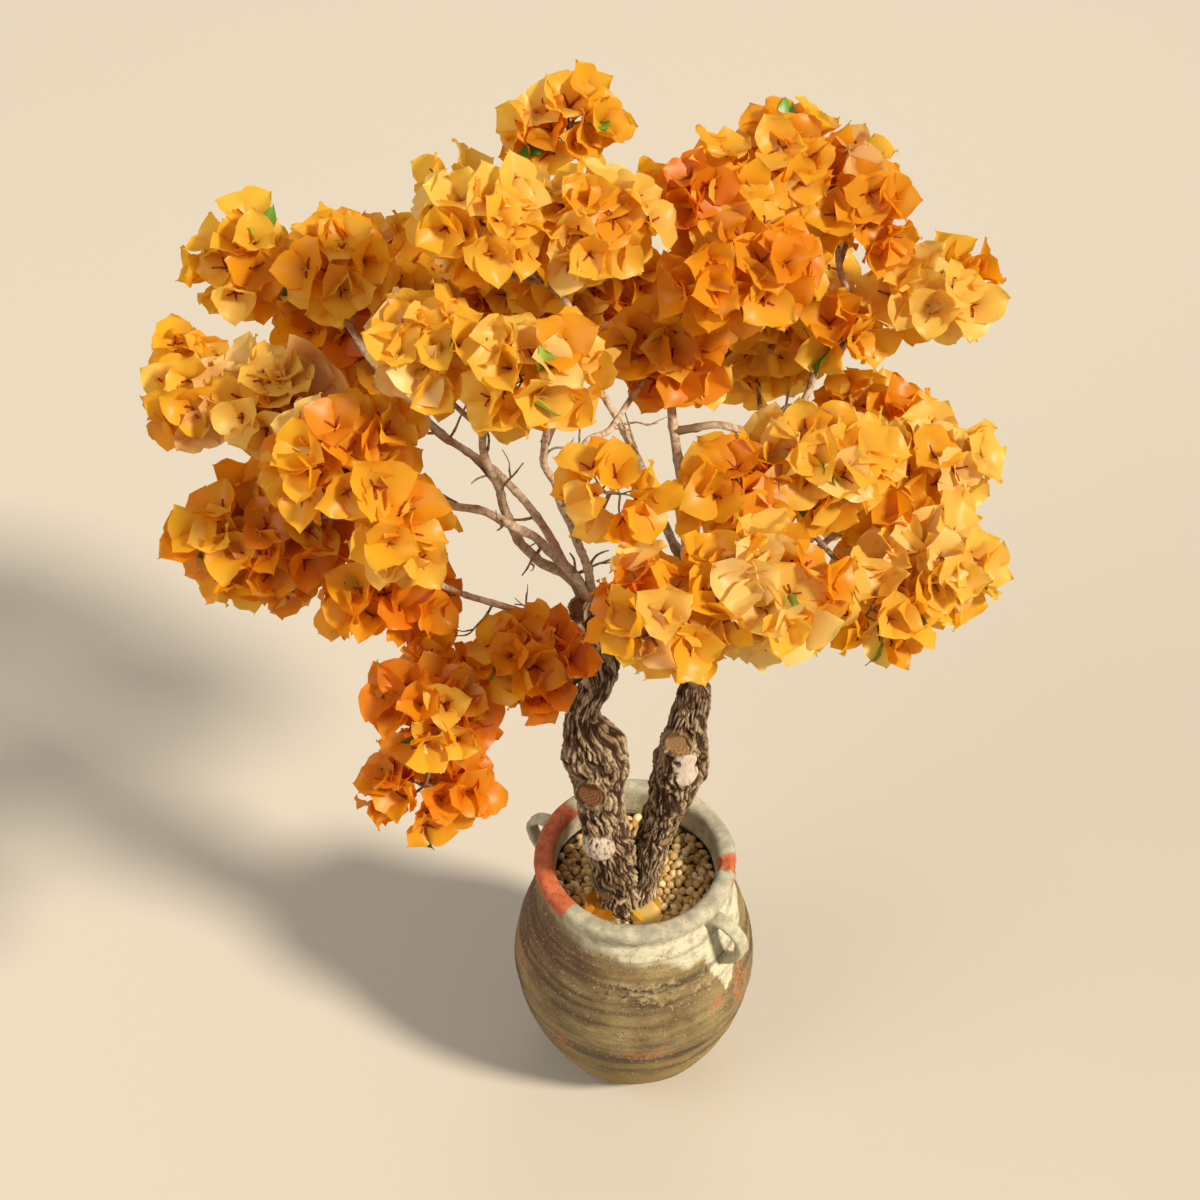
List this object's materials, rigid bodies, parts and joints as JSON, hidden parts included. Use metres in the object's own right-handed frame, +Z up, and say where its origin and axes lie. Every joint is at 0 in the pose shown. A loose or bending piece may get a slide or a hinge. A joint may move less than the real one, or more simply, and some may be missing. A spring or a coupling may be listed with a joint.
{
  "type": "potted bougainvillea bush",
  "caption": "Old bougainvillea bush with a forked, furrowed trunk and a broad crown of golden orange papery bracts, in a weathered stoneware jar with two strap lugs.",
  "frame": {"origin": "centre of the jar's flat underside, on the ground", "axes": "+Z up along the jar's axis; -Y is the front, the side the picture shows; +X is to the right seen from the front"},
  "size_m": [0.8108, 0.5991, 1.2311],
  "materials": {
    "stoneware": "unglazed, rough, weathered, with pale slip and bare red clay patches",
    "slip_clay": "matt cream slip",
    "gravel": "dry, rounded, ochre",
    "bark": "deeply furrowed, matt",
    "bough_bark": "thin, pale, matt",
    "blossom": "papery, thin, matt"
  },
  "bodies": {
    "root": {"jar": "stoneware", "lug_right": "slip_clay", "lug_left": "slip_clay", "gravel_bed": "gravel", "trunk_foot": "bark", "trunk_left": "bark", "trunk_right": "bark", "bough_left": "bough_bark", "bough_far_left": "bough_bark", "bough_centre_left": "bough_bark", "bough_upper_left": "bough_bark", "bough_middle": "bough_bark", "bough_top": "bough_bark", "bough_inner": "bough_bark", "bough_rise": "bough_bark", "bough_right_back": "bough_bark", "bough_front": "bough_bark", "bough_right": "bough_bark", "bough_right_out": "bough_bark", "bough_low_left": "bough_bark", "bough_low": "bough_bark", "bough_back_left": "bough_bark", "bough_back_mid": "bough_bark", "bough_back_right": "bough_bark", "mass_crest": "blossom", "mass_back_tuft": "blossom", "mass_top_left": "blossom", "mass_top_mid": "blossom", "mass_crown_right": "blossom", "mass_inner_right": "blossom", "mass_peak_right": "blossom", "mass_shoulder_right": "blossom", "mass_far_right": "blossom", "mass_back_small": "blossom", "mass_upper_left": "blossom", "mass_upper_left_in": "blossom", "mass_far_left": "blossom", "mass_left_mid": "blossom", "mass_left_front": "blossom", "mass_left_low": "blossom", "mass_left_inner": "blossom", "mass_left_under": "blossom", "mass_mid_left": "blossom", "mass_mid": "blossom", "mass_centre": "blossom", "mass_small_mid": "blossom", "mass_right_in": "blossom", "mass_right_mid": "blossom", "mass_right_under": "blossom", "mass_right_out": "blossom", "mass_right_low": "blossom", "mass_front_left": "blossom", "mass_front_right": "blossom", "mass_low_in": "blossom", "mass_low_mid": "blossom", "mass_low_tip": "blossom", "mass_back_left": "blossom", "mass_back_mid": "blossom", "mass_back_right": "blossom", "mass_back_far_right": "blossom"}
  },
  "joints": []
}
